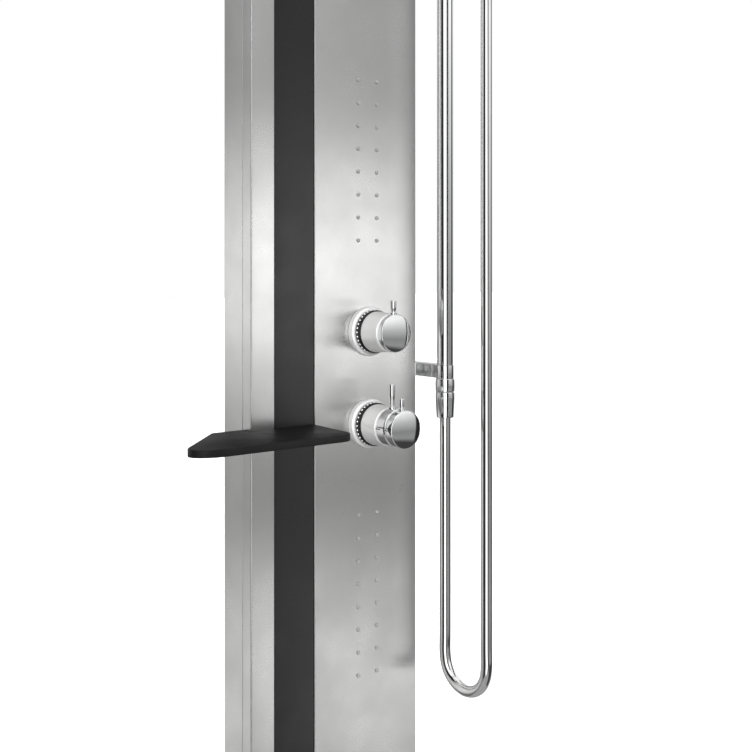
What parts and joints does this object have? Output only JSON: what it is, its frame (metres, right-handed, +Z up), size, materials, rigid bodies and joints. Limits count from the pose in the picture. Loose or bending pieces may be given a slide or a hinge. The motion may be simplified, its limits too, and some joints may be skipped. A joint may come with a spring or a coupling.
{
  "type": "rainfall shower column",
  "caption": "Wall-hung steel shower panel with rain head, hand shower on a side rail, body jets, a mixer, a diverter and a black corner shelf.",
  "frame": {"origin": "on the wall plane, on the panel's vertical centre line, midway between the diverter and the mixer", "axes": "+X to the right seen from the room, +Y into the wall, +Z up"},
  "size_m": [0.4281, 0.563, 1.62],
  "materials": {
    "brushed_steel": "satin",
    "black_acrylic": "gloss",
    "black_resin": "satin",
    "chrome": "polished",
    "satin_chrome": "satin",
    "chromed_plastic": "polished",
    "chromed_hose": "polished",
    "black_trim": "gloss",
    "brass": "satin",
    "copper": "satin",
    "zinc_plate": "satin",
    "white_plastic": "matte",
    "grey_silicone": "matte",
    "black_rubber": "matte",
    "steel_braid": "satin"
  },
  "bodies": {
    "column": {"rear_box": "brushed_steel", "front_panel": "brushed_steel", "black_inlay": "black_acrylic", "top_cap": "brushed_steel", "bottom_cap": "brushed_steel", "wall_bracket": "zinc_plate", "valve_body": "brass", "inlet_union_hot": "brass", "inlet_union_cold": "brass", "supply_hose_hot": "steel_braid", "supply_hose_cold": "steel_braid", "rain_riser": "copper", "handset_feed": "copper", "jet_manifold_upper": "white_plastic", "jet_manifold_lower": "white_plastic", "jet_mat_upper": "grey_silicone", "jet_mat_lower": "grey_silicone", "diverter_escutcheon": "satin_chrome", "diverter_bezel": "black_trim", "diverter_barrel": "satin_chrome", "diverter_cartridge": "white_plastic", "mixer_escutcheon": "satin_chrome", "mixer_bezel": "black_trim", "mixer_barrel": "satin_chrome", "mixer_cartridge": "white_plastic", "shelf": "black_resin", "shelf_screw_left": "zinc_plate", "shelf_screw_right": "zinc_plate", "lower_bracket": "chrome", "lower_bracket_screw": "zinc_plate", "upper_bracket": "chrome", "upper_bracket_screw": "zinc_plate", "outlet_elbow": "chrome", "outlet_nut": "chrome", "hose_nut_lower": "chrome", "rail": "chrome", "hose_lower": "chromed_hose", "rain_arm": "chrome", "arm_flange": "chrome"},
    "diverter_lever": {"diverter_cap": "chrome", "diverter_stick": "chrome", "diverter_spindle": "brass"},
    "flow_lever": {"flow_ring": "chrome", "flow_stick": "chrome", "flow_sleeve": "brass"},
    "temperature_lever": {"temperature_cap": "chrome", "temperature_stick": "chrome", "temperature_spindle": "brass"},
    "slider": {"slider": "chromed_plastic", "tilt_pin": "brushed_steel", "hose_upper": "chromed_hose"},
    "slider_lock": {"slider_knob": "chromed_plastic"},
    "holder": {"holder_cup": "chromed_plastic"},
    "hand_shower": {"handset": "chromed_plastic", "handset_face": "grey_silicone", "hose_nut_upper": "chrome"},
    "rain_seat": {"ball_seat": "black_rubber"},
    "rain_shower": {"rain_head": "brushed_steel", "rain_face": "brushed_steel", "ball_nut": "chrome"}
  },
  "joints": [
    {"name": "diverter_turn", "type": "hinge", "parent": "column", "child": "diverter_lever", "pos_m": [0.044, -0.1, 0.055], "axis": [0, -1, 0], "range_deg": [-60, 60]},
    {"name": "flow_turn", "type": "hinge", "parent": "column", "child": "flow_lever", "pos_m": [0.044, -0.1, -0.055], "axis": [0, -1, 0], "range_deg": [0, 90]},
    {"name": "temperature_turn", "type": "hinge", "parent": "column", "child": "temperature_lever", "pos_m": [0.044, -0.12, -0.055], "axis": [0, -1, 0], "range_deg": [-60, 60]},
    {"name": "slider_slide", "type": "slide", "parent": "column", "child": "slider", "axis": [0, 0, 1], "range_m": [-0.35, 0.1], "deforming": ["hose_lower"]},
    {"name": "slider_lock_turn", "type": "hinge", "parent": "slider", "child": "slider_lock", "pos_m": [0.165, -0.085, 0.745], "axis": [1, 0, 0], "range_deg": [0, 120]},
    {"name": "holder_tilt", "type": "hinge", "parent": "slider", "child": "holder", "pos_m": [0.1445, -0.12, 0.745], "axis": [1, 0, 0], "range_deg": [-8, 20], "deforming": ["hose_upper"]},
    {"name": "handset_lift", "type": "slide", "parent": "holder", "child": "hand_shower", "axis": [0, 0, 1], "range_m": [0, 0.045]},
    {"name": "rain_tilt", "type": "hinge", "parent": "column", "child": "rain_seat", "pos_m": [0, -0.438, 0.982], "axis": [1, 0, 0], "range_deg": [-12, 12]},
    {"name": "rain_roll", "type": "hinge", "parent": "rain_seat", "child": "rain_shower", "pos_m": [0, -0.438, 0.982], "axis": [0, 1, 0], "range_deg": [-12, 12]}
  ]
}
